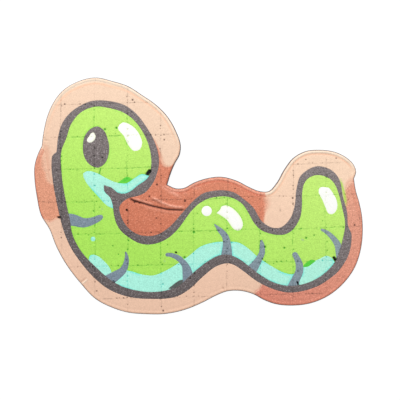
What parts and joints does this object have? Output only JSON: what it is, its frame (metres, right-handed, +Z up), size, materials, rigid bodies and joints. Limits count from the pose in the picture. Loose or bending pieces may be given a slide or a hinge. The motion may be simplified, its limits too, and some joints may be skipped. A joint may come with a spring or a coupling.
{
  "type": "soft plastic worm patch",
  "caption": "Flat soft plastic worm patch with a raised rim, fused colour pours and a hook tape back, for tackle bags, vests and caps.",
  "frame": {"origin": "centre of the part's footprint, on the surface that its hooks rest on", "axes": "+X from head to tail, +Y towards the top of the head, +Z up out of the face"},
  "size_m": [0.1, 0.0721, 0.0045],
  "materials": {
    "base": "soft PVC, matt, fine grain",
    "hooks": "nylon monofilament hooks",
    "tape": "woven nylon tape",
    "adhesive": "cured contact adhesive film",
    "peach": "soft PVC, matt, fine grain",
    "terracotta": "soft PVC, matt, mottled, fine grain",
    "ink": "soft PVC, matt, speckled",
    "green": "soft PVC, matt, fine grain",
    "pale_blue": "soft PVC, matt, fine grain",
    "slate": "soft PVC, matt, fine grain",
    "cream": "soft PVC, smooth",
    "dark_green": "soft PVC, matt",
    "dark_slate": "soft PVC, matt"
  },
  "bodies": {
    "root": {"base_layer": "base", "hook_field": "hooks", "hook_tape": "tape", "adhesive_film": "adhesive", "border_head": "peach", "border_nape": "terracotta", "border_belly": "peach", "border_tail_side": "terracotta", "border_tail_cap": "peach", "border_neck": "terracotta", "ink_outline": "ink", "green_body": "green", "jaw_pour": "pale_blue", "chest_pour": "pale_blue", "neck_spot": "pale_blue", "belly_panel_1": "pale_blue", "belly_panel_2": "pale_blue", "belly_panel_3": "pale_blue", "belly_panel_4": "pale_blue", "belly_panel_5": "pale_blue", "stripe_1": "slate", "stripe_2": "slate", "stripe_3": "slate", "stripe_4": "slate", "stripe_5": "slate", "stripe_6": "slate", "stripe_7": "slate", "head_highlight": "cream", "back_highlight": "cream", "back_dot": "cream", "tail_highlight": "cream", "eye_pupil": "ink", "eye_glint": "cream", "jaw_shade": "dark_green", "tail_shade": "dark_green", "belly_sliver": "dark_slate"}
  },
  "joints": []
}
